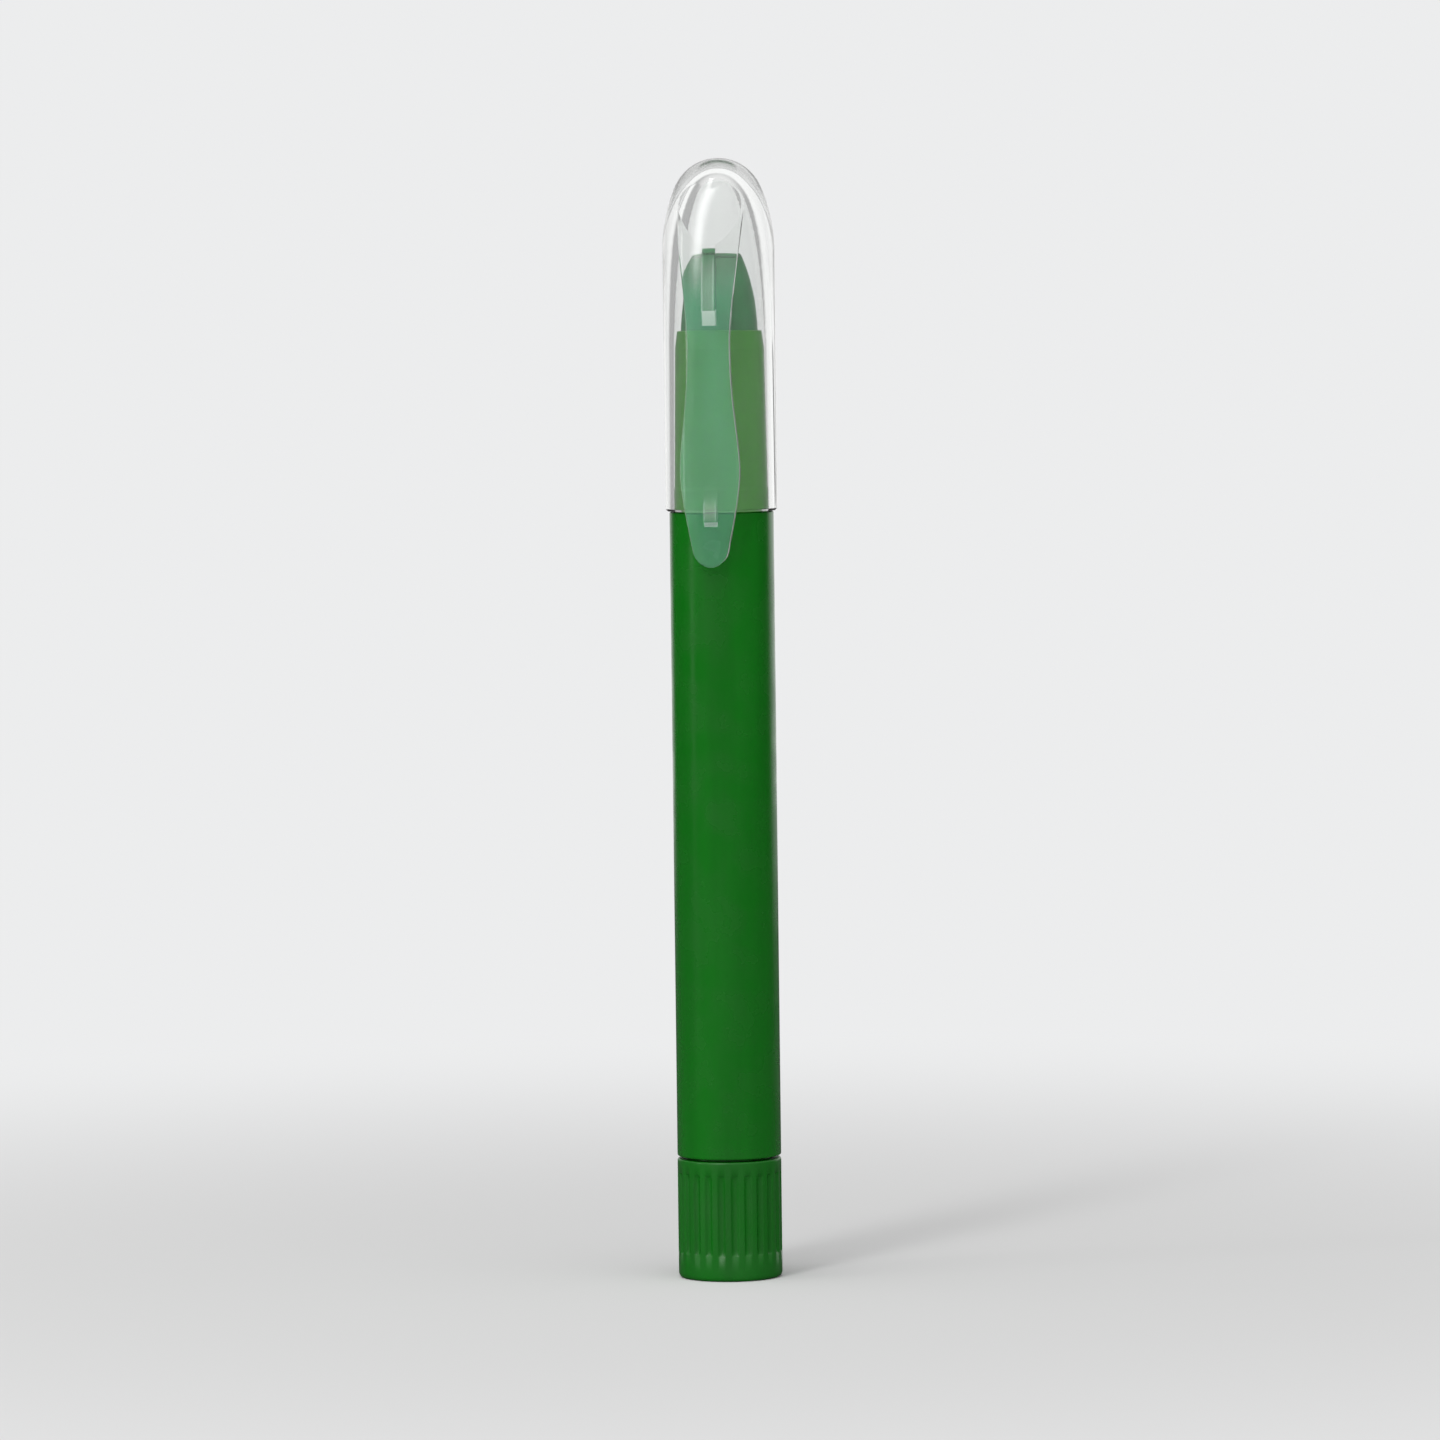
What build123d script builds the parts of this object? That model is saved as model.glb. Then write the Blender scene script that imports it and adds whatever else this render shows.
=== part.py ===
import os
from math import cos, radians, sin

from build123d import *

os.makedirs("parts", exist_ok=True)

# Driving sizes in mm. The crayon stands on its knob, Z runs up to the tip and the clip faces -Y.
overall_length = 140.0
barrel_radius = 6.5
cap_length = 44.0
knob_length = 15.0

# Walls, fits and gaps
barrel_wall = 0.8
sleeve_wall = 0.8
skirt_wall = 1.0
edge_break = 0.25
lip_break = 0.1
end_gap = 0.3
thrust_gap = 0.1
slide_play = 0.1
running_play = 0.06
cap_play = 0.07
thread_play = 0.12

# Nose and gel stick
tip_length = 9.9
tip_headroom = 11.5
tip_flat_radius = 2.75
tip_cover = 1.1
tip_rounding = 0.4
band_height = 2.7
band_lift = 0.18
mouth_band = 2.3
nose_draft = 0.25
mouth_draft = 0.25

# Cap and clip
cap_step = 0.5
dome_height = 11.5
flank_radius = 20.0
dome_roof = 2.7
bore_clearance = 0.17
clip_gap = 0.7
clip_thickness = 1.3
clip_overhang = 6.7
clip_toe = 0.25
clip_end_half = 2.2
clip_broad_half = 3.75
clip_waist_half = 2.65
clip_root_half = 4.05
clip_crown = 8.0
clip_rounding = 0.2
clip_web_width = 1.6
grip_width = 1.5
grip_height = 0.55

# Feed screw, carrier and knob
thread_lead = 3.0
thread_core = 0.22 * barrel_radius
thread_depth = 0.09 * barrel_radius
thread_crest = 0.7
thread_root = 1.3
screw_reach = 4.0
feed_spare = 8.7
bore_play = 0.25
web_thickness = 2.0
flange_gap = 0.7
flange_thickness = 1.2
shank_width = 0.46 * barrel_radius
journal_radius = 0.36 * barrel_radius
spigot_length = 8.7
spigot_gap = 0.2
cup_depth = 5.0
cup_wall = 0.6
nut_height = 7.0
skirt_length = 17.0
key_height = 5.0
slot_width = 1.6
key_play = 0.15
ring_thickness = 1.1
flute_count = 24
flute_radius = 0.55
flute_depth = 0.3

# Levels along the crayon, from the knob's end face up
shoulder = overall_length - cap_length
nose_top = overall_length - tip_headroom - tip_length
tip_top = overall_length - tip_headroom
barrel_bottom = knob_length + end_gap
spigot_top = knob_length + spigot_length
web_bottom = spigot_top + end_gap
web_top = web_bottom + web_thickness
flange_bottom = web_top + thrust_gap
flange_top = flange_bottom + flange_thickness
retract_travel = tip_length + tip_cover
carrier_bottom = flange_top + retract_travel + feed_spare
cup_floor = carrier_bottom + skirt_length
cup_rim = cup_floor + cup_depth
thread_top = shoulder + screw_reach
screw_top = thread_top + 1.0
slot_top = shoulder - screw_reach
cap_rim = shoulder + thrust_gap

# Radii from the barrel inwards and outwards
sleeve_seat = barrel_radius - barrel_wall
sleeve_bore = sleeve_seat - sleeve_wall
stick_radius = sleeve_bore - slide_play
flange_radius = sleeve_bore - flange_gap
band_radius = sleeve_seat + band_lift
nose_base = sleeve_seat + 0.1
nose_crease = nose_base - nose_draft
mouth_radius = nose_crease - mouth_draft
skirt_bore = barrel_radius - skirt_wall
cap_radius = barrel_radius + cap_step
cap_bore = band_radius + cap_play
cap_bore_top = nose_crease + bore_clearance
thread_tip = thread_core + thread_depth
nut_core = thread_core + thread_play
nut_tip = thread_tip + thread_play
stick_bore = thread_tip + bore_play
clip_inner = cap_radius + clip_gap
clip_outer = clip_inner + clip_thickness


def polar(radius, angle):
    """Flat point at a radius and an angle in degrees."""
    return (radius * cos(radians(angle)), radius * sin(radians(angle)))


# Barrel: coloured tube, with a web near its lower end that carries the screw
with BuildPart() as barrel:
    with BuildSketch(Plane.XZ):
        with BuildLine():
            Polyline(
                (journal_radius + running_play, web_bottom),
                (skirt_bore, web_bottom),
                (skirt_bore, barrel_bottom),
                (barrel_radius - edge_break, barrel_bottom),
                (barrel_radius, barrel_bottom + edge_break),
                (barrel_radius, shoulder - edge_break),
                (barrel_radius - edge_break, shoulder),
                (sleeve_seat, shoulder),
                (sleeve_seat, web_top),
                (journal_radius + running_play, web_top),
                close=True,
            )
        make_face()
    revolve(axis=Axis.Z)
barrel.part.label = "barrel"
export_step(barrel.part, "parts/barrel.step")

# Nose sleeve: guide tube pressed into the barrel, with a grip band for the cap and three key slots
with BuildPart() as nose_sleeve:
    with BuildSketch(Plane.XZ):
        with BuildLine():
            Polyline(
                (sleeve_bore, web_top + end_gap),
                (sleeve_seat, web_top + end_gap),
                (sleeve_seat, shoulder),
                (band_radius, shoulder),
                (band_radius, shoulder + band_height),
                (nose_base, shoulder + band_height + 2 * edge_break),
                (nose_crease, nose_top - mouth_band),
                (mouth_radius, nose_top - lip_break),
                (mouth_radius - lip_break, nose_top),
                (sleeve_bore + lip_break, nose_top),
                (sleeve_bore, nose_top - lip_break),
                close=True,
            )
        make_face()
    revolve(axis=Axis.Z)
    with Locations((0, 0, web_top)):
        with PolarLocations((sleeve_bore + sleeve_seat) / 2, 3, start_angle=90):
            Box(
                2 * sleeve_wall,
                slot_width,
                slot_top - web_top,
                align=(Align.CENTER, Align.CENTER, Align.MIN),
                mode=Mode.SUBTRACT,
            )
nose_sleeve.part.label = "nose_sleeve"
export_step(nose_sleeve.part, "parts/nose_sleeve.step")

# Lead screw: coarse left-hand thread, so that a clockwise turn seen from the knob feeds the stick out
crest_angle = 180 * thread_crest / thread_lead
root_angle = 180 * thread_root / thread_lead
with BuildPart() as lead_screw:
    with BuildLine(mode=Mode.PRIVATE) as screw_axis:
        Line((0, 0, flange_top), (0, 0, thread_top))
    with BuildLine(mode=Mode.PRIVATE) as screw_guide:
        Helix(thread_lead, thread_top - flange_top, thread_core, center=(0, 0, flange_top), lefthand=True)
    with BuildSketch(Plane.XY.offset(flange_top)) as screw_section:
        with BuildLine():
            crest = ThreePointArc(
                polar(thread_tip, -crest_angle), (thread_tip, 0), polar(thread_tip, crest_angle)
            )
            root = ThreePointArc(
                polar(thread_core, root_angle), (-thread_core, 0), polar(thread_core, -root_angle)
            )
            Line(crest @ 1, root @ 0)
            Line(root @ 1, crest @ 0)
        make_face()
    sweep(path=screw_axis.line, binormal=screw_guide.edge())
    with BuildSketch(Plane.XZ):
        with BuildLine():
            Polyline(
                (0, spigot_top),
                (journal_radius - edge_break, spigot_top),
                (journal_radius, spigot_top + edge_break),
                (journal_radius, flange_bottom),
                (flange_radius, flange_bottom),
                (flange_radius, flange_top),
                (0, flange_top),
                close=True,
            )
        make_face()
    revolve(axis=Axis.Z)
    with BuildSketch(Plane.XZ):
        with BuildLine():
            Polyline(
                (0, thread_top),
                (thread_core - edge_break, thread_top),
                (thread_core - 3 * edge_break, screw_top),
                (0, screw_top),
                close=True,
            )
        make_face()
    revolve(axis=Axis.Z)
    with BuildSketch(Plane.XY.offset(spigot_top)):
        RectangleRounded(shank_width, shank_width, 2 * edge_break)
    extrude(amount=-(spigot_length + knob_length / 2))
lead_screw.part.label = "lead_screw"
export_step(lead_screw.part, "parts/lead_screw.step")

# Carrier: cup under the stick, nut on the screw and a keyed skirt in the sleeve's slots
nut_crest_angle = 180 * (thread_crest + 2 * thread_play) / thread_lead
nut_root_angle = 180 * (thread_root + 2 * thread_play) / thread_lead
turns_below = (carrier_bottom - flange_top) // thread_lead
nut_start = flange_top + turns_below * thread_lead
with BuildPart() as carrier:
    with BuildSketch(Plane.XZ):
        with BuildLine():
            Polyline(
                (0, cup_floor - nut_height),
                (nut_tip + 1.0, cup_floor - nut_height),
                (nut_tip + 1.0, cup_floor - cup_wall - 1.0),
                (stick_radius - cup_wall, cup_floor - cup_wall - 1.0),
                (stick_radius - cup_wall, carrier_bottom),
                (stick_radius, carrier_bottom),
                (stick_radius, cup_rim),
                (stick_radius - cup_wall, cup_rim),
                (stick_radius - cup_wall, cup_floor),
                (0, cup_floor),
                close=True,
            )
        make_face()
    revolve(axis=Axis.Z)
    with Locations((0, 0, carrier_bottom)):
        with PolarLocations(stick_radius - cup_wall / 2, 3, start_angle=90):
            Box(
                sleeve_seat - key_play - stick_radius + cup_wall / 2,
                slot_width - 2 * key_play,
                key_height,
                align=(Align.MIN, Align.CENTER, Align.MIN),
            )
    with BuildLine(mode=Mode.PRIVATE) as nut_axis:
        Line((0, 0, nut_start), (0, 0, cup_rim))
    with BuildLine(mode=Mode.PRIVATE) as nut_guide:
        Helix(thread_lead, cup_rim - nut_start, nut_core, center=(0, 0, nut_start), lefthand=True)
    with BuildSketch(Plane.XY.offset(nut_start)) as nut_section:
        with BuildLine():
            nut_crest = ThreePointArc(
                polar(nut_tip, -nut_crest_angle), (nut_tip, 0), polar(nut_tip, nut_crest_angle)
            )
            nut_root = ThreePointArc(
                polar(nut_core, nut_root_angle), (-nut_core, 0), polar(nut_core, -nut_root_angle)
            )
            Line(nut_crest @ 1, nut_root @ 0)
            Line(nut_root @ 1, nut_crest @ 0)
        make_face()
    sweep(path=nut_axis.line, binormal=nut_guide.edge(), mode=Mode.SUBTRACT)
carrier.part.label = "carrier"
export_step(carrier.part, "parts/carrier.step")

# Gel stick: cast in the carrier's cup, bored for the screw, with a blunt flat tip
bore_top = screw_top + retract_travel + 1.0
with BuildPart() as gel_stick:
    with BuildSketch(Plane.XZ):
        with BuildLine():
            body = Polyline(
                (0, bore_top),
                (stick_bore, bore_top - stick_bore / 2),
                (stick_bore, cup_floor),
                (stick_radius - cup_wall, cup_floor),
                (stick_radius - cup_wall, cup_rim),
                (stick_radius, cup_rim),
                (stick_radius, nose_top - lip_break),
            )
            taper = Bezier(
                body @ 1,
                (stick_radius, nose_top + tip_length / 2),
                (tip_flat_radius, tip_top),
            )
            Polyline(taper @ 1, (0, tip_top), body @ 0)
        make_face()
    revolve(axis=Axis.Z)
    fillet(gel_stick.edges().group_by(Axis.Z)[-1], tip_rounding)
gel_stick.part.label = "gel_stick"
export_step(gel_stick.part, "parts/gel_stick.step")

# Drag ring: soft ring that rubs in the barrel's skirt
ring_radius = skirt_bore - running_play - ring_thickness / 2
ring_level = knob_length + spigot_length / 2
with BuildPart() as drag_ring:
    with BuildSketch(Plane.XZ):
        with Locations((ring_radius, ring_level)):
            Circle(ring_thickness / 2)
    revolve(axis=Axis.Z)
drag_ring.part.label = "drag_ring"
export_step(drag_ring.part, "parts/drag_ring.step")

# Twist knob: fluted grip, a spigot with the ring's groove, and a boss with a square socket
spigot_radius = skirt_bore - spigot_gap
groove_floor = ring_radius - ring_thickness / 2
groove_half = ring_thickness / 2 + lip_break
boss_radius = 0.9 * shank_width
pocket_radius = groove_floor - skirt_wall
knob_floor = knob_length / 6
with BuildPart() as twist_knob:
    with BuildSketch(Plane.XZ):
        with BuildLine():
            Polyline(
                (0, 0),
                (barrel_radius - 3 * edge_break, 0),
                (barrel_radius - edge_break, edge_break),
                (barrel_radius, 3 * edge_break),
                (barrel_radius, knob_length - edge_break),
                (barrel_radius - edge_break, knob_length),
                (spigot_radius, knob_length),
                (spigot_radius, ring_level - groove_half),
                (groove_floor, ring_level - groove_half),
                (groove_floor, ring_level + groove_half),
                (spigot_radius, ring_level + groove_half),
                (spigot_radius, spigot_top - edge_break),
                (spigot_radius - edge_break, spigot_top),
                (pocket_radius, spigot_top),
                (pocket_radius, knob_floor),
                (boss_radius, knob_floor),
                (boss_radius, spigot_top - end_gap),
                (0, spigot_top - end_gap),
                close=True,
            )
        make_face()
    revolve(axis=Axis.Z)
    with BuildSketch(Plane.XY.offset(spigot_top)):
        RectangleRounded(shank_width, shank_width, 2 * edge_break)
    extrude(amount=-(spigot_length + knob_length / 2 + end_gap), mode=Mode.SUBTRACT)
    with Locations((0, 0, 0.55 * knob_length)):
        with PolarLocations(barrel_radius + flute_radius - flute_depth, flute_count):
            Cylinder(flute_radius, 0.68 * knob_length, mode=Mode.SUBTRACT)
twist_knob.part.label = "twist_knob"
export_step(twist_knob.part, "parts/twist_knob.step")

# Cap: clear dome and skirt in one with its paddle clip
side_plane = Plane(origin=(0, 0, 0), x_dir=(0, -1, 0), z_dir=(-1, 0, 0))
clip_bottom = shoulder - clip_overhang
clip_top = overall_length - 2.8
clip_bend = clip_top - 23.2
clip_end = clip_bottom + 1.9
clip_broad = clip_bottom + 12.0
clip_waist = clip_bottom + 27.5
clip_root = clip_top - 3.2
gap_bend = clip_top - 13.0
crown_radius = flank_radius**2 - (flank_radius - cap_radius) ** 2 - dome_height**2
crown_radius = crown_radius / (2 * (flank_radius - dome_height))
blend = crown_radius / (flank_radius - crown_radius)
blend_radius = (flank_radius - cap_radius) * blend
blend_level = overall_length - crown_radius + (dome_height - crown_radius) * blend
with BuildPart() as cap:
    # Clip: inner face in side view, outline in front view, then a crowned face
    with BuildSketch(side_plane):
        with BuildLine():
            back = Polyline(
                (clip_outer + 1.0, clip_top),
                (clip_outer - 6.5, clip_top),
                (clip_outer - 6.5, clip_root + 0.5),
                (clip_inner - 3.1, gap_bend + 9.75),
            )
            arch = TangentArc((clip_inner, gap_bend), back @ 1, tangent=(0, 1))
            Polyline(
                arch @ 0,
                (clip_inner, clip_bottom + 2.5),
                (clip_inner + clip_toe, clip_bottom),
                (clip_outer + 1.0, clip_bottom),
                back @ 0,
            )
        make_face()
    extrude(amount=2 * clip_root_half, both=True)
    with BuildSketch(Plane.XZ):
        with BuildLine():
            toe = Bezier(
                (0, clip_bottom),
                (clip_end_half - 1.2, clip_bottom),
                (clip_end_half - 0.2, clip_end - 1.0),
                (clip_end_half, clip_end),
            )
            flare = Bezier(
                toe @ 1,
                (clip_end_half + 0.46, clip_end + 2.3),
                (clip_broad_half, clip_broad - 2.7),
                (clip_broad_half, clip_broad),
            )
            belly = Bezier(
                flare @ 1,
                (clip_broad_half, clip_broad + 3.5),
                (clip_waist_half, clip_waist - 7.5),
                (clip_waist_half, clip_waist),
            )
            neck = Bezier(
                belly @ 1,
                (clip_waist_half, clip_waist + 5.0),
                (clip_root_half, clip_root - 6.0),
                (clip_root_half, clip_root),
            )
            Bezier(
                neck @ 1,
                (clip_root_half, clip_root + 2.0),
                (0.6 * clip_root_half, clip_top),
                (0, clip_top),
            )
            mirror(about=Plane.YZ)
        make_face()
    extrude(amount=2 * clip_outer, mode=Mode.INTERSECT)
    with BuildSketch(side_plane):
        with BuildLine():
            toe_face = Bezier(
                (clip_outer - clip_toe, clip_bottom - 0.1),
                (clip_outer, clip_bottom + clip_overhang),
                (clip_outer, clip_broad),
            )
            face = Line(toe_face @ 1, (clip_outer, clip_bend))
            bend = Bezier(
                face @ 1,
                (clip_outer, clip_bend + 10.0),
                (clip_outer - 0.7, clip_bend + 18.5),
                (clip_outer - 4.1, clip_top - 0.2),
            )
            Polyline(
                bend @ 1,
                (-clip_crown, clip_top - 0.2),
                (-clip_crown, clip_bottom - 0.1),
                toe_face @ 0,
            )
        make_face()
    revolve(axis=Axis((0, clip_crown, 0), (0, 0, 1)), mode=Mode.INTERSECT)
    clip_front = cap.faces().filter_by(lambda surface: surface.normal_at().Y < -0.3)
    fillet(clip_front.edges().filter_by(GeomType.CIRCLE, reverse=True), clip_rounding)
    # Web under the clip's root and grip bump near its end
    with BuildSketch(side_plane):
        with BuildLine():
            Polyline(
                (cap_radius - 0.2, clip_top - 7.0),
                (cap_radius - 0.2, clip_waist + 2.5),
                (cap_radius, clip_waist + 2.5),
                (clip_inner + 0.1, clip_waist + 4.5),
                (clip_inner + 0.1, clip_top - 9.0),
                (cap_radius + 0.2, clip_top - 7.0),
                close=True,
            )
        make_face()
    extrude(amount=clip_web_width / 2, both=True)
    with BuildSketch(side_plane):
        with BuildLine():
            Polyline(
                (clip_inner + 0.1, clip_bottom + 10.2),
                (clip_inner, clip_bottom + 10.2),
                (clip_inner - grip_height, clip_bottom + 6.0),
                (clip_inner - grip_height, clip_bottom + 5.6),
                (clip_inner, clip_bottom + 5.2),
                (clip_inner + 0.1, clip_bottom + 5.2),
                close=True,
            )
        make_face()
    extrude(amount=grip_width / 2, both=True)
    # Outside of the dome and skirt
    with BuildSketch(Plane.XZ):
        with BuildLine():
            skirt = Polyline(
                (0, cap_rim),
                (cap_radius - edge_break, cap_rim),
                (cap_radius, cap_rim + edge_break),
                (cap_radius, overall_length - dome_height),
            )
            flank = TangentArc(skirt @ 1, (blend_radius, blend_level), tangent=(0, 1))
            crown = TangentArc(flank @ 1, (0, overall_length), tangent=flank % 1)
            Line(crown @ 1, skirt @ 0)
        make_face()
    revolve(axis=Axis.Z)
    # Hollow: drafted bore over the nose, then a pointed room over the tip
    with BuildSketch(Plane.XZ):
        with BuildLine():
            bore = Polyline(
                (0, cap_rim),
                (cap_bore + edge_break, cap_rim),
                (cap_bore, cap_rim + edge_break),
                (cap_bore_top, nose_top - mouth_band / 2),
            )
            room = Bezier(
                bore @ 1,
                (cap_bore_top - 0.4, nose_top + 0.75 * tip_length),
                (cap_bore_top - 0.8, overall_length - dome_roof),
                (0, overall_length - dome_roof),
            )
            Line(room @ 1, bore @ 0)
        make_face()
    revolve(axis=Axis.Z, mode=Mode.SUBTRACT)
cap.part.label = "cap"
export_step(cap.part, "parts/cap.step")
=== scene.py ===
import math

import bmesh
import bpy
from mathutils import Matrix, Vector, noise


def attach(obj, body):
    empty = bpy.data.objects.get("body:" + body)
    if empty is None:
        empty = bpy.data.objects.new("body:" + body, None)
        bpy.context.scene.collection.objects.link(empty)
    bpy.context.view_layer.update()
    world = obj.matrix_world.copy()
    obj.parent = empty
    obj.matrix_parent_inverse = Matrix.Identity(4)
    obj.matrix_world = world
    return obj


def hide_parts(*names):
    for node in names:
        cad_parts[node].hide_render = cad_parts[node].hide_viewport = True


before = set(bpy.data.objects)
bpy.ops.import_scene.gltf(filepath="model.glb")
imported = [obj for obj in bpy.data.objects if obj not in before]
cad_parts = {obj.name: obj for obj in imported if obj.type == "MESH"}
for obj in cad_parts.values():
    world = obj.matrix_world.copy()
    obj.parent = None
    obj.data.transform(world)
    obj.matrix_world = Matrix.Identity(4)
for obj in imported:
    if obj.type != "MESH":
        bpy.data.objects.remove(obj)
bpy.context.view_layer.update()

# Barrel: a plain tube moulded in coloured plastic, smooth and a little glossy, with a web inside
# for the screw. The nose sleeve is pressed into its upper end and the knob turns in its lower end.
barrel_green = (0.0015, 0.126, 0.0035, 1.0)
barrel_green_deep = (0.0012, 0.11, 0.003, 1.0)
barrel_radius = 6.5
barrel_low = 15.3
barrel_high = 96.0
sleeve_seat = 5.7
knob_seat = 5.5
web_low = 24.0
web_high = 26.0
web_bore = 2.4
edge_rounding = 0.25
lip_rounding = 0.1
mouth_rounding = 0.06
plastic_ior = 1.49


def softened(corners, steps=6, reach=1.7):
    """An outline of (radius, height, rounding) corners in mm, each worn back to a small curve.

    A point on either side, at reach times the rounding, keeps the faces beside it flat.
    """
    outline = []
    for number, (radius, height, rounding) in enumerate(corners):
        corner = Vector((radius, height))
        if rounding == 0.0:
            outline.append(corner)
            continue
        before = (Vector(corners[number - 1][:2]) - corner).normalized()
        after = (Vector(corners[(number + 1) % len(corners)][:2]) - corner).normalized()
        first, last = corner + rounding * before, corner + rounding * after
        outline.append(corner + reach * rounding * before)
        for step in range(steps + 1):
            share = step / steps
            outline.append(first.lerp(corner, share).lerp(corner.lerp(last, share), share))
        outline.append(corner + reach * rounding * after)
    return outline


def turned(name, outline, segments, worn=None):
    """The closed outline turned about the crayon's axis. worn moves each point in its own way."""
    mesh = bmesh.new()
    rings = []
    for radius, height in outline:
        ring = []
        for step in range(1 if radius == 0.0 else segments):
            angle = 2.0 * math.pi * step / segments
            out, up = (radius, height) if worn is None else worn(radius, height, angle)
            point = Vector((out * math.cos(angle), out * math.sin(angle), up)) / 1000.0
            ring.append(mesh.verts.new(point))
        rings.append(ring)
    for lower, upper in zip(rings, rings[1:] + rings[:1]):
        for step in range(segments):
            after = step + 1
            corners = [lower[step % len(lower)], lower[after % len(lower)]]
            corners += [upper[after % len(upper)], upper[step % len(upper)]]
            corners = list(dict.fromkeys(corners))
            if len(corners) > 2:
                mesh.faces.new(corners)
    bmesh.ops.recalc_face_normals(mesh, faces=mesh.faces)
    data = bpy.data.meshes.new(name)
    mesh.to_mesh(data)
    mesh.free()
    data.shade_smooth()
    piece = bpy.data.objects.new(name, data)
    bpy.context.scene.collection.objects.link(piece)
    return piece


def new_material(name):
    """A node material with an empty tree, and its Principled shader on the output."""
    material = bpy.data.materials.new(name)
    material.use_nodes = True
    nodes = material.node_tree.nodes
    nodes.clear()
    output = nodes.new("ShaderNodeOutputMaterial")
    shader = nodes.new("ShaderNodeBsdfPrincipled")
    material.node_tree.links.new(shader.outputs["BSDF"], output.inputs["Surface"])
    return material, shader


def row_noise(tree, cells_per_mm, stretch=(1.0, 1.0, 1.0), detail=3.0):
    """Noise in the crayon's own frame, with about that many cells to the millimetre."""
    place = tree.nodes.new("ShaderNodeTexCoord")
    mapping = tree.nodes.new("ShaderNodeMapping")
    mapping.inputs["Scale"].default_value = stretch
    cells = tree.nodes.new("ShaderNodeTexNoise")
    cells.inputs["Scale"].default_value = 1000.0 * cells_per_mm
    cells.inputs["Detail"].default_value = detail
    tree.links.new(place.outputs["Object"], mapping.inputs["Vector"])
    tree.links.new(mapping.outputs["Vector"], cells.inputs["Vector"])
    return cells.outputs["Fac"]


def ramp(tree, value, start, end, low=0.0, high=1.0):
    """A smooth step from low to high as the value goes from start to end."""
    step = tree.nodes.new("ShaderNodeMapRange")
    step.interpolation_type = "SMOOTHSTEP"
    step.inputs["From Min"].default_value = start
    step.inputs["From Max"].default_value = end
    step.inputs["To Min"].default_value = low
    step.inputs["To Max"].default_value = high
    tree.links.new(value, step.inputs["Value"])
    return step.outputs["Result"]


def drift(tree, cells, low=0.0, high=1.0):
    """Noise that wanders between low and high, and lingers at both."""
    return ramp(tree, cells, 0.3, 0.7, low, high)


def two_shades(tree, factor, first, second):
    """A colour that goes from the first shade to the second."""
    mix = tree.nodes.new("ShaderNodeMix")
    mix.data_type = "RGBA"
    for socket, shade in ((mix.inputs["A"], first), (mix.inputs["B"], second)):
        if isinstance(shade, tuple):
            socket.default_value = shade
        else:
            tree.links.new(shade, socket)
    tree.links.new(factor, mix.inputs["Factor"])
    return mix.outputs["Result"]


def raised(tree, height, depth_mm, under=None):
    """A bump of that depth, laid over another one where it is given."""
    bump = tree.nodes.new("ShaderNodeBump")
    bump.inputs["Strength"].default_value = 1.0
    bump.inputs["Distance"].default_value = depth_mm / 1000.0
    tree.links.new(height, bump.inputs["Height"])
    if under is not None:
        tree.links.new(under, bump.inputs["Normal"])
    return bump.outputs["Normal"]


def moulded_plastic(name, shade, deep_shade, roughness, grain_mm):
    """Coloured plastic from a polished mould: flow marks, a fine orange peel and uneven gloss."""
    material, shader = new_material(name)
    tree = material.node_tree
    flow_marks = row_noise(tree, 0.3, (1.0, 1.0, 0.07))
    colour = two_shades(tree, drift(tree, flow_marks), shade, deep_shade)
    tree.links.new(colour, shader.inputs["Base Color"])
    smudges = row_noise(tree, 0.22, detail=4.0)
    tree.links.new(drift(tree, smudges, *roughness), shader.inputs["Roughness"])
    orange_peel = raised(tree, row_noise(tree, 0.9), 2.0 * grain_mm)
    grain = raised(tree, row_noise(tree, 9.0), grain_mm, orange_peel)
    tree.links.new(grain, shader.inputs["Normal"])
    shader.inputs["IOR"].default_value = plastic_ior
    return material


def put_in_place(piece, material, body, node):
    """Gives a new piece its finish and its place in the frame."""
    piece.data.materials.append(material)
    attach(piece, body)
    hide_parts(node)


barrel_corners = [(web_bore, web_low, 0.0), (knob_seat, web_low, lip_rounding)]
barrel_corners += [(knob_seat, barrel_low, lip_rounding), (barrel_radius, barrel_low, edge_rounding)]
barrel_corners += [(barrel_radius, level, 0.0) for level in range(20, 92, 8)]
barrel_corners += [(barrel_radius, barrel_high, edge_rounding), (sleeve_seat, barrel_high, mouth_rounding)]
barrel_corners += [(sleeve_seat, web_high, lip_rounding), (web_bore, web_high, 0.0)]
barrel = turned("barrel_tube", softened(barrel_corners), segments=192)
barrel_plastic = moulded_plastic(
    "barrel_plastic", barrel_green, barrel_green_deep, roughness=(0.2, 0.3), grain_mm=0.0008
)
put_in_place(barrel, barrel_plastic, "barrel", "barrel")

# Nose sleeve: a thin guide tube of the same plastic with a satin skin, pressed into the barrel.
# Its upper end stands out as the tapered nose, with a band at its foot that the cap grips.
nose_green = (0.034, 0.25, 0.01, 1.0)
nose_green_deep = (0.029, 0.225, 0.008, 1.0)


def finish_node(node_name, material):
    """Gives a solid of the frame its finish."""
    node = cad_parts[node_name]
    node.data.materials.clear()
    node.data.materials.append(material)


nose_plastic = moulded_plastic(
    "nose_plastic", nose_green, nose_green_deep, roughness=(0.32, 0.42), grain_mm=0.001
)
finish_node("nose_sleeve", nose_plastic)

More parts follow.
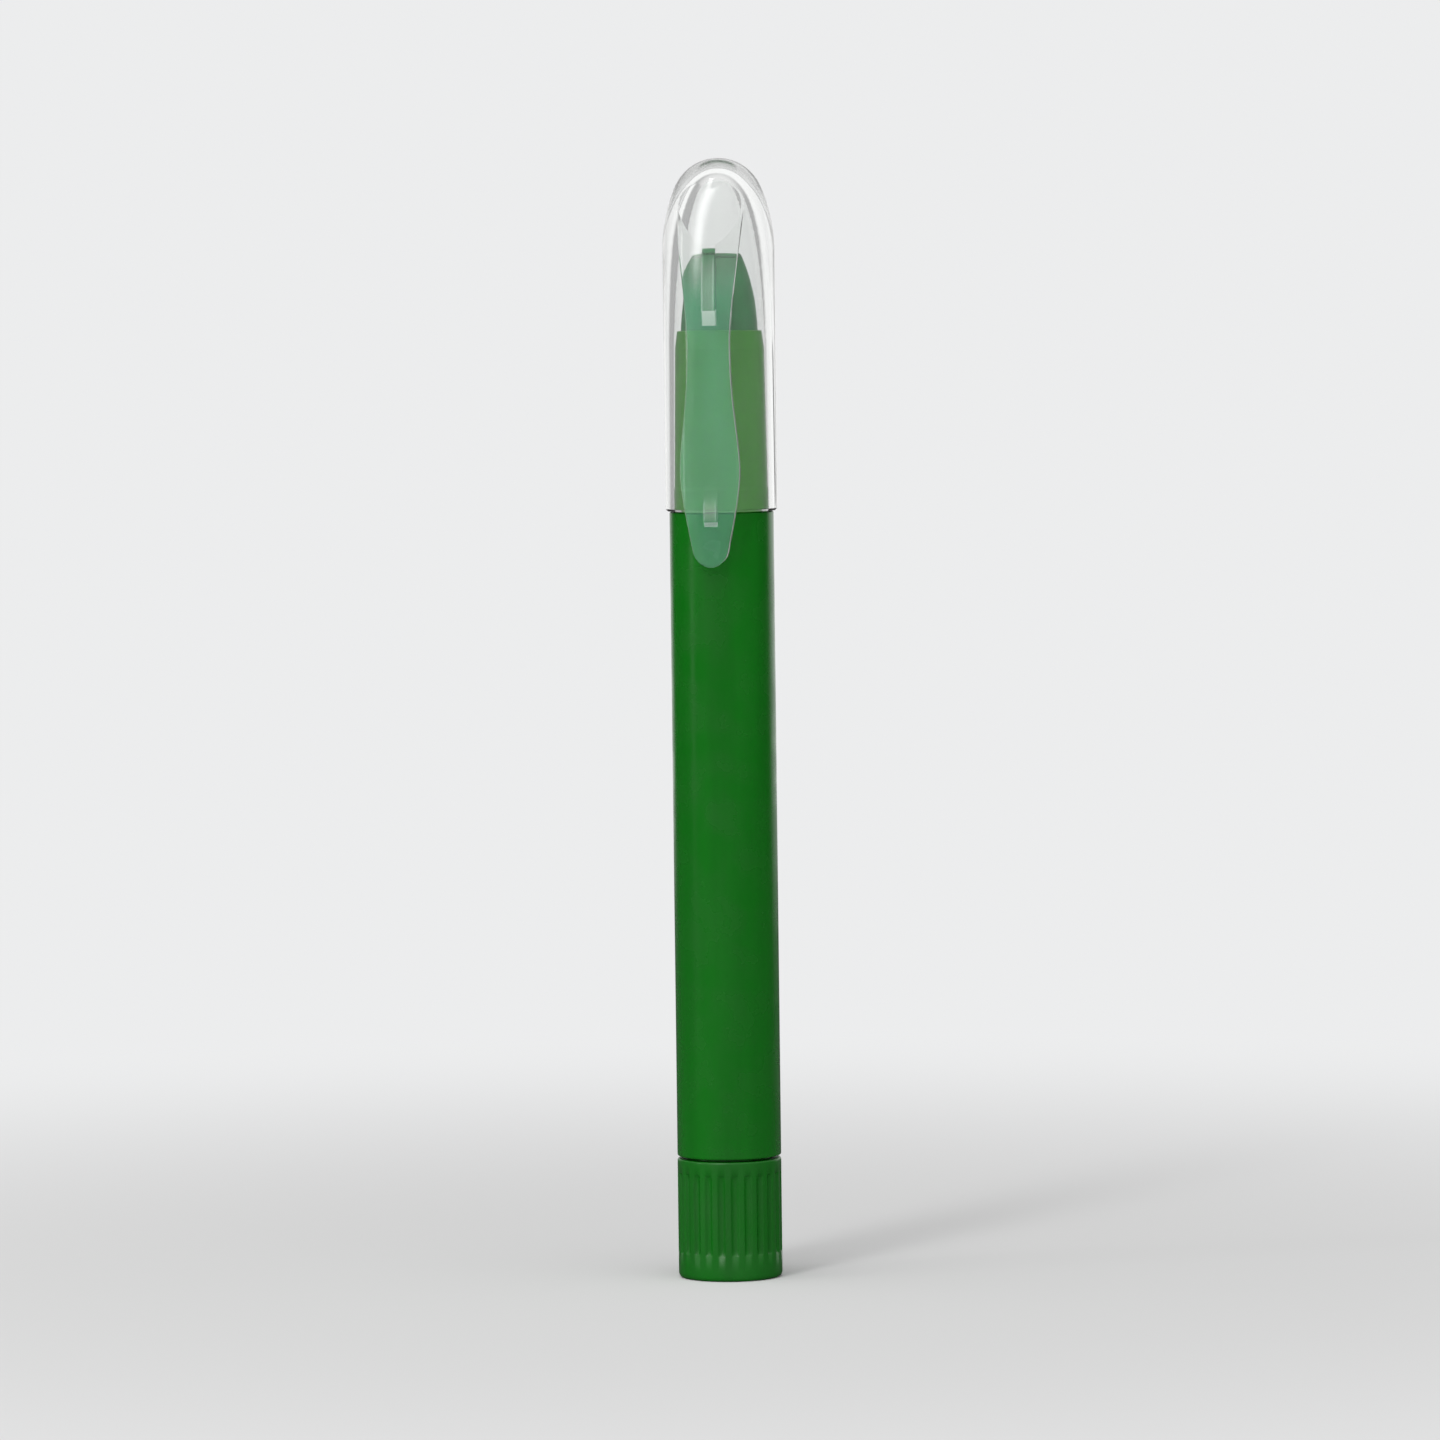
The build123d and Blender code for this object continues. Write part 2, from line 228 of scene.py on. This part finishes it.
# Lead screw and carrier: moulded in uncoloured, waxy plastic. The screw turns with the knob and
# winds the carrier, with the gel stick cast on it, up and down inside the sleeve.
waxy_white = (0.78, 0.77, 0.72, 1.0)
waxy_white_deep = (0.7, 0.69, 0.63, 1.0)
natural_plastic = moulded_plastic(
    "natural_plastic", waxy_white, waxy_white_deep, roughness=(0.4, 0.52), grain_mm=0.001
)
for hidden_piece in ("lead_screw", "carrier"):
    finish_node(hidden_piece, natural_plastic)

# Gel stick: a thick stick of soft gel colour with a blunt flat tip, cast in the carrier's cup
# and bored for the screw. Its skin is a little uneven and dull, and light sinks into it.
gel_green = (0.029, 0.205, 0.064, 1.0)
gel_green_deep = (0.022, 0.17, 0.05, 1.0)
gel_radius = 4.8
gel_foot = 64.0
gel_shoulder = 118.5
gel_bend = 123.55
gel_top = 128.5
gel_flat = 2.75
gel_bore = 2.265
bore_shoulder = 111.87
bore_top = 113.0
cup_bore = 4.2
cup_rim = 69.0
tip_rounding = 0.45
tip_steps = 25
skin_dip = 0.02
tip_dip = 0.06
tip_dip_fade = 2.0
dips_per_mm = 0.7
flat_band = 0.05


def soft_gel(name):
    """Soft, slightly greasy gel: uneven pigment, light that sinks in a little and a dull skin."""
    material, shader = new_material(name)
    tree = material.node_tree
    pigment = row_noise(tree, 0.5, detail=5.0)
    colour = two_shades(tree, drift(tree, pigment), gel_green, gel_green_deep)
    tree.links.new(colour, shader.inputs["Base Color"])
    skin = row_noise(tree, 1.4, detail=4.0)
    tree.links.new(drift(tree, skin, 0.38, 0.55), shader.inputs["Roughness"])
    drag_marks = raised(tree, row_noise(tree, 1.2, (1.0, 1.0, 0.12)), 0.012)
    grain = raised(tree, row_noise(tree, 6.0), 0.003, drag_marks)
    tree.links.new(grain, shader.inputs["Normal"])
    shader.inputs["Subsurface Weight"].default_value = 0.12
    shader.inputs["Subsurface Radius"].default_value = (0.0004, 0.001, 0.0006)
    shader.inputs["Subsurface Scale"].default_value = 1.0
    return material


def gel_skin(radius, height, angle):
    """Shallow dips in the cast skin, deeper over the tip that sticks out."""
    place = Vector((radius * math.cos(angle), radius * math.sin(angle), 0.5 * height))
    dip = 0.5 + 0.5 * noise.noise(dips_per_mm * place)
    over_tip = min(max((height - gel_shoulder) / tip_dip_fade, 0.0), 1.0)
    depth = dip * (skin_dip + tip_dip * over_tip)
    if height > gel_top - flat_band:
        return radius, height - depth
    return max(radius - depth, 0.0), height


gel_corners = [(0.0, bore_top, 0.0), (gel_bore, bore_shoulder, lip_rounding)]
gel_corners += [(gel_bore, gel_foot, lip_rounding), (cup_bore, gel_foot, 0.0)]
gel_corners += [(cup_bore, cup_rim, 0.0), (gel_radius, cup_rim, 0.0)]
gel_corners += [(gel_radius, level, 0.0) for level in range(72, 118, 3)]
for step in range(tip_steps):
    share = step / tip_steps
    side = Vector((gel_radius, gel_shoulder)).lerp(Vector((gel_radius, gel_bend)), share)
    slope = Vector((gel_radius, gel_bend)).lerp(Vector((gel_flat, gel_top)), share)
    gel_corners.append((*side.lerp(slope, share), 0.0))
gel_corners += [(gel_flat, gel_top, tip_rounding)]
gel_corners += [(reach, gel_top, 0.0) for reach in (1.8, 1.4, 1.0, 0.6, 0.3, 0.0)]
gel_stick = turned("gel_crayon", softened(gel_corners), segments=128, worn=gel_skin)
put_in_place(gel_stick, soft_gel("gel"), "feed", "gel_stick")

# Drag ring: a soft black ring that sits in the groove of the knob's spigot. It rubs on the
# inside of the barrel, so that the knob stays where it was turned to.
ring_black = (0.02, 0.02, 0.02, 1.0)
ring_black_deep = (0.012, 0.012, 0.012, 1.0)
soft_ring = moulded_plastic(
    "soft_ring", ring_black, ring_black_deep, roughness=(0.6, 0.75), grain_mm=0.003
)
finish_node("drag_ring", soft_ring)

# Twist knob: the fluted end, moulded in the barrel's plastic with a satin skin. A spigot with the
# ring's groove turns in the barrel, and a boss inside has the square socket for the screw.
knob_radius = 6.5
knob_height = 15.0
knob_floor = 2.5
flute_count = 24
flute_width = 0.49
flute_curve = 0.55
flute_low = 3.15
flute_high = 13.35
flute_runout = 0.9
spigot_radius = 5.3
spigot_top = 23.7
groove_radius = 4.34
groove_low = 18.7
groove_high = 20.0
pocket_radius = 3.34
boss_radius = 2.69
boss_top = 23.4
socket_half = 1.495
socket_reach = 1.01 * socket_half
socket_corner = 1.32 * socket_half
socket_floor = 7.2
foot_flat = 3.0
foot_rounding = 0.7
shoulder_rounding = 0.3
spigot_rounding = 0.08
groove_rounding = 0.05
pocket_rounding = 0.2


def knob_surface(radius, height, angle):
    """Rounded flutes in the grip, each running out at its ends, and the square of the socket."""
    if 0.0 < radius < socket_reach:
        square = socket_half / max(abs(math.cos(angle)), abs(math.sin(angle)))
        return min(square, socket_corner), height
    if radius < knob_radius or not flute_low < height < flute_high:
        return radius, height
    pitch = 2.0 * math.pi * knob_radius / flute_count
    across = (angle * flute_count / (2.0 * math.pi) + 0.5) % 1.0 - 0.5
    across = min(abs(across) * pitch / flute_width, 1.0)
    bottom = math.sqrt(flute_curve**2 - (across * flute_width) ** 2)
    depth = bottom - math.sqrt(flute_curve**2 - flute_width**2)
    from_end = min(height - flute_low, flute_high - height) / flute_runout
    runout = math.sqrt(1.0 - (1.0 - min(from_end, 1.0)) ** 2)
    return radius - depth * runout, height


flute_steps = [0.1 * step**1.3 for step in range(11)]
knob_corners = [(0.0, 0.0, 0.0), (foot_flat, 0.0, 0.0), (knob_radius, 0.0, foot_rounding)]
knob_corners += [(knob_radius, flute_low + rise, 0.0) for rise in flute_steps]
knob_corners += [(knob_radius, 0.5 * level, 0.0) for level in range(11, 23)]
knob_corners += [(knob_radius, flute_high - fall, 0.0) for fall in reversed(flute_steps)]
knob_corners += [(knob_radius, knob_height, shoulder_rounding)]
knob_corners += [(spigot_radius, knob_height, spigot_rounding)]
knob_corners += [(spigot_radius, groove_low, groove_rounding)]
knob_corners += [(groove_radius, groove_low, groove_rounding)]
knob_corners += [(groove_radius, groove_high, groove_rounding)]
knob_corners += [(spigot_radius, groove_high, groove_rounding)]
knob_corners += [(spigot_radius, spigot_top, edge_rounding)]
knob_corners += [(pocket_radius, spigot_top, lip_rounding)]
knob_corners += [(pocket_radius, knob_floor, pocket_rounding)]
knob_corners += [(boss_radius, knob_floor, lip_rounding), (boss_radius, boss_top, lip_rounding)]
knob_corners += [(socket_half, boss_top, 0.0), (socket_half, socket_floor, 0.0)]
knob_corners += [(0.0, socket_floor, 0.0)]
twist_knob = turned(
    "fluted_knob", softened(knob_corners), segments=20 * flute_count, worn=knob_surface
)
knob_plastic = moulded_plastic(
    "knob_plastic", barrel_green, barrel_green_deep, roughness=(0.3, 0.4), grain_mm=0.0012
)
put_in_place(twist_knob, knob_plastic, "twist", "twist_knob")

# Cap: one clear moulding with a thick domed top and a paddle clip, slightly milky, and milkier in the
# clip. The clip's milk is coloured mint green. That colour is painted green light, standing in for the
# light the clip picks up from the green crayon behind it. The mould leaves the clip's sides frosted,
# and the ends of the web and of the bump under it. The places below are in metres: start, end and
# how soft the edges are.
clear = (0.955, 0.965, 0.955, 1.0)
cap_milk = (0.93, 0.95, 0.94, 1.0)
# Painted green light: the clip's milk colour stands in for green light bounced from the crayon behind it.
clip_milk_painted_green_bounce = (0.35, 1.0, 0.64, 1.0)
frost_white = (0.9, 0.92, 0.9, 1.0)
cap_haze = 0.045
clip_haze = 0.128
thick_haze = 0.07
line_haze = 0.16
side_frost = 0.3
end_frost = 0.45
thick_frost = 0.6
end_dullness = 0.35
clip_skin = (0.0072, 0.0075)
clip_underside = (0.00695, 0.00785, 0.00003)
clip_milk_fade = (0.1215, 0.1300)
web_levels = (0.1205, 0.1275, 0.0012)
web_end_levels = (0.1192, 0.12125, 0.00006)
web_flanks = (0.0006, 0.0008, 0.00005)
web_width = (0.00079, 0.00083)
bump_levels = (0.0950, 0.0975, 0.0010)
bump_end_levels = (0.09435, 0.0949, 0.00005)
sideways_facing = (0.55, 0.85)


def reckon(tree, operation, first, second):
    """One sum, product or other step of arithmetic on two sockets, or a socket and a number."""
    step = tree.nodes.new("ShaderNodeMath")
    step.operation = operation
    for socket, value in zip(step.inputs, (first, second)):
        if isinstance(value, float):
            socket.default_value = value
        else:
            tree.links.new(value, socket)
    return step.outputs["Value"]


def between(tree, value, low, high, soft):
    """1 where the value lies between low and high, with soft edges, else 0."""
    rise = ramp(tree, value, low - soft, low + soft)
    fall = ramp(tree, value, high - soft, high + soft, 1.0, 0.0)
    return reckon(tree, "MULTIPLY", rise, fall)


def clear_plastic(name):
    """Clear moulded plastic: polished, faintly wavy and milky where light enters each wall, with painted
    green light in the clip's milk.
    """
    material, shader = new_material(name)
    tree = material.node_tree

    def both(first, second):
        return reckon(tree, "MULTIPLY", first, second)

    def either(first, second):
        return reckon(tree, "MAXIMUM", first, second)

    place = tree.nodes.new("ShaderNodeTexCoord")
    axes = tree.nodes.new("ShaderNodeSeparateXYZ")
    facing = tree.nodes.new("ShaderNodeSeparateXYZ")
    geometry = tree.nodes.new("ShaderNodeNewGeometry")
    tree.links.new(place.outputs["Object"], axes.inputs["Vector"])
    tree.links.new(place.outputs["Normal"], facing.inputs["Vector"])
    across = reckon(tree, "ABSOLUTE", axes.outputs["X"], 0.0)
    outward = both(axes.outputs["Y"], -1.0)
    level = axes.outputs["Z"]
    sideways = reckon(tree, "ABSOLUTE", facing.outputs["X"], 0.0)

    on_clip = ramp(tree, outward, *clip_skin)
    clip_side = both(ramp(tree, sideways, *sideways_facing), on_clip)
    narrow = ramp(tree, across, *web_width, 1.0, 0.0)
    ends = either(between(tree, level, *web_end_levels), between(tree, level, *bump_end_levels))
    ends = both(both(ends, narrow), between(tree, outward, *clip_underside))
    thick = either(between(tree, level, *web_levels), between(tree, level, *bump_levels))
    thick = both(both(thick, narrow), on_clip)
    paddle = both(on_clip, ramp(tree, level, *clip_milk_fade, 1.0, 0.0))

    clouds = drift(tree, row_noise(tree, 0.3, (1.0, 1.0, 0.3), 4.0), 0.85, 1.15)
    haze = both(ramp(tree, paddle, 0.0, 1.0, cap_haze, clip_haze), clouds)
    flanks = between(tree, across, *web_flanks)
    extra = both(ramp(tree, flanks, 0.0, 1.0, thick_haze, line_haze), thick)
    haze = reckon(tree, "ADD", haze, extra)
    haze = either(haze, both(clip_side, side_frost))
    entering = reckon(tree, "SUBTRACT", 1.0, geometry.outputs["Backfacing"])
    haze = either(both(haze, entering), both(ends, end_frost))

    frosted = either(either(ends, clip_side), both(thick, thick_frost))
    # Over the paddle clip the milk turns mint green. This is painted green light from the crayon behind,
    # not a tint of the plastic.
    milk_and_painted_green_bounce = two_shades(tree, paddle, cap_milk, clip_milk_painted_green_bounce)
    milk = tree.nodes.new("ShaderNodeBsdfPrincipled")
    tree.links.new(two_shades(tree, frosted, milk_and_painted_green_bounce, frost_white), milk.inputs["Base Color"])
    shader.inputs["Base Color"].default_value = clear
    shader.inputs["Transmission Weight"].default_value = 1.0
    skin = drift(tree, row_noise(tree, 0.4, detail=4.0), 0.02, 0.05)
    skin = reckon(tree, "ADD", skin, both(ends, end_dullness))
    waves = raised(tree, row_noise(tree, 0.16), 0.003)
    for layer in (shader, milk):
        layer.inputs["IOR"].default_value = plastic_ior
        tree.links.new(skin, layer.inputs["Roughness"])
        tree.links.new(waves, layer.inputs["Normal"])
    layers = tree.nodes.new("ShaderNodeMixShader")
    tree.links.new(haze, layers.inputs["Fac"])
    tree.links.new(shader.outputs["BSDF"], layers.inputs[1])
    tree.links.new(milk.outputs["BSDF"], layers.inputs[2])
    tree.links.new(layers.outputs["Shader"], tree.get_output_node("ALL").inputs["Surface"])
    return material


finish_node("cap", clear_plastic("clear_plastic"))

# Studio: a pale floor that runs out into a pale backdrop, a tall soft light high on the left and
# a weaker one at the side. The room is pale to look at, lights the pieces from the front and above,
# and is dim in reflections, except inside the cap's clear walls.
floor_radius = 0.7
floor_paper = (0.6, 0.6, 0.6, 1.0)
floor_reflected = (0.08, 0.08, 0.08, 1.0)
backdrop_pale = (0.84, 0.845, 0.85, 1.0)
floor_fade = (0.06, 0.3)
wall_passes = (0.5, 2.5, 0.2)
bpy.ops.mesh.primitive_circle_add(vertices=96, radius=floor_radius, fill_type="NGON")
floor = bpy.context.object
floor.name = "studio_floor"


def first_hand(tree):
    """1 for what the camera sees, straight or through clear plastic, and 0 after any reflection."""
    path = tree.nodes.new("ShaderNodeLightPath")
    bounces = reckon(tree, "ADD", path.outputs["Diffuse Depth"], path.outputs["Glossy Depth"])
    return reckon(tree, "LESS_THAN", bounces, 0.5)


floor_material = bpy.data.materials.new("floor_paper")
floor_material.use_nodes = True
floor_tree = floor_material.node_tree
floor_tree.nodes.clear()
floor_output = floor_tree.nodes.new("ShaderNodeOutputMaterial")
paper = floor_tree.nodes.new("ShaderNodeBsdfDiffuse")
floor_path = floor_tree.nodes.new("ShaderNodeLightPath")
mirrored = reckon(floor_tree, "GREATER_THAN", floor_path.outputs["Glossy Depth"], 0.5)
in_wall = between(floor_tree, floor_path.outputs["Transmission Depth"], *wall_passes)
mirrored = reckon(floor_tree, "SUBTRACT", mirrored, in_wall)
floor_shade = two_shades(floor_tree, mirrored, floor_paper, floor_reflected)
floor_tree.links.new(floor_shade, paper.inputs["Color"])
glow = floor_tree.nodes.new("ShaderNodeEmission")
glow.inputs["Color"].default_value = backdrop_pale
floor_place = floor_tree.nodes.new("ShaderNodeTexCoord")
from_middle = floor_tree.nodes.new("ShaderNodeVectorMath")
from_middle.operation = "LENGTH"
floor_tree.links.new(floor_place.outputs["Object"], from_middle.inputs[0])
fade = ramp(floor_tree, from_middle.outputs["Value"], *floor_fade)
backdrop_share = reckon(floor_tree, "MULTIPLY", fade, first_hand(floor_tree))
floor_mix = floor_tree.nodes.new("ShaderNodeMixShader")
floor_tree.links.new(backdrop_share, floor_mix.inputs["Fac"])
floor_tree.links.new(paper.outputs["BSDF"], floor_mix.inputs[1])
floor_tree.links.new(glow.outputs["Emission"], floor_mix.inputs[2])
floor_tree.links.new(floor_mix.outputs["Shader"], floor_output.inputs["Surface"])
floor.data.materials.append(floor_material)

room_white = (1.0, 1.0, 1.0, 1.0)
room_light = (0.2, 1.45)
room_light_span = (-0.4, 1.0)
room_light_from = (-0.1, -0.81, 0.58)
room_reflected = (0.02, 0.8)
overhead_span = (0.1, 0.9)
behind_span = (0.6, 0.85)
room_in_glass = 0.4
world = bpy.data.worlds.new("studio_air")
bpy.context.scene.world = world
world.use_nodes = True
air = world.node_tree
air.nodes.clear()
air_output = air.nodes.new("ShaderNodeOutputWorld")
direction = air.nodes.new("ShaderNodeTexCoord")
towards = air.nodes.new("ShaderNodeSeparateXYZ")
air.links.new(direction.outputs["Generated"], towards.inputs["Vector"])
frontal = air.nodes.new("ShaderNodeVectorMath")
frontal.operation = "DOT_PRODUCT"
frontal.inputs[1].default_value = room_light_from
air.links.new(direction.outputs["Generated"], frontal.inputs[0])
lit = ramp(air, frontal.outputs["Value"], *room_light_span, *room_light)
overhead = ramp(air, towards.outputs["Z"], *overhead_span, *room_reflected)
behind = ramp(air, towards.outputs["Y"], *behind_span)
air_path = air.nodes.new("ShaderNodeLightPath")
in_glass = between(air, air_path.outputs["Transmission Depth"], *wall_passes)
in_glass = reckon(air, "MULTIPLY", in_glass, room_in_glass)
reflected = reckon(air, "MAXIMUM", reckon(air, "MAXIMUM", overhead, behind), in_glass)
on_pieces = reckon(air, "GREATER_THAN", air_path.outputs["Diffuse Depth"], 0.5)
strength = air.nodes.new("ShaderNodeMix")
air.links.new(on_pieces, strength.inputs["Factor"])
air.links.new(reflected, strength.inputs["A"])
air.links.new(lit, strength.inputs["B"])
room = air.nodes.new("ShaderNodeBackground")
room.inputs["Color"].default_value = room_white
air.links.new(strength.outputs["Result"], room.inputs["Strength"])
backdrop = air.nodes.new("ShaderNodeBackground")
backdrop.inputs["Color"].default_value = backdrop_pale
air_mix = air.nodes.new("ShaderNodeMixShader")
air.links.new(first_hand(air), air_mix.inputs["Fac"])
air.links.new(room.outputs["Background"], air_mix.inputs[1])
air.links.new(backdrop.outputs["Background"], air_mix.inputs[2])
air.links.new(air_mix.outputs["Shader"], air_output.inputs["Surface"])

crayon_middle = Vector((0.0, 0.0, 0.07))
lamp_distance = 0.9
lamp_sides = (0.25, 0.75, 0.25)
lamp_foot = (0.0, 0.25)


def out_from_crayon(azimuth, elevation):
    """The direction from the crayon at that angle round from the clip, and that angle up."""
    turn, rise = math.radians(azimuth), math.radians(elevation)
    level = math.cos(rise)
    return Vector((math.sin(turn) * level, -math.cos(turn) * level, math.sin(rise)))


def softbox(name, azimuth, elevation, wide, high, watts):
    """A soft light with fading edges that faces the crayon and doesn't show through the cap."""
    lamp = bpy.data.lights.new(name, "AREA")
    lamp.shape = "RECTANGLE"
    lamp.size = wide
    lamp.size_y = high
    lamp.energy = watts
    holder = bpy.data.objects.new(name, lamp)
    bpy.context.scene.collection.objects.link(holder)
    away = out_from_crayon(azimuth, elevation)
    holder.location = crayon_middle + lamp_distance * away
    holder.rotation_mode = "QUATERNION"
    holder.rotation_quaternion = (-away).to_track_quat("-Z", "Y")
    holder.visible_camera = False
    holder.visible_transmission = False
    lamp.use_nodes = True
    face = lamp.node_tree
    spot = face.nodes.new("ShaderNodeNewGeometry")
    edges = face.nodes.new("ShaderNodeSeparateXYZ")
    face.links.new(spot.outputs["Parametric"], edges.inputs["Vector"])
    brightness = between(face, edges.outputs["X"], *lamp_sides)
    brightness = reckon(face, "MULTIPLY", brightness, ramp(face, edges.outputs["Y"], *lamp_foot))
    face.links.new(brightness, face.nodes["Emission"].inputs["Strength"])


softbox("key_light", azimuth=-20, elevation=39, wide=0.24, high=1.08, watts=6.0)
softbox("side_light", azimuth=-62, elevation=14, wide=0.14, high=0.6, watts=1.1)
bpy.context.scene.cycles.blur_glossy = 0.0

# Camera: a long lens in front of the clip, turned a little to its right and slightly above. The
# picture's width is given at the crayon, and its middle lies half way up the crayon.
photo_width = 0.18
photo_middle = Vector((-0.0005, -0.0001, 0.0699))
view_azimuth = 9.5
view_elevation = 3.5
view_roll = -0.7
view_distance = 1.0
camera_data = bpy.data.cameras.new("camera")
camera_data.sensor_width = 36.0
camera_data.lens = camera_data.sensor_width * view_distance / photo_width
camera = bpy.data.objects.new("camera", camera_data)
bpy.context.scene.collection.objects.link(camera)
view_from = out_from_crayon(view_azimuth, view_elevation)
camera.location = photo_middle + view_distance * view_from
camera.rotation_euler = (-view_from).to_track_quat("-Z", "Y").to_euler()
camera.rotation_euler.rotate_axis("Z", math.radians(view_roll))
bpy.context.scene.camera = camera
bpy.context.scene.view_settings.view_transform = "Standard"
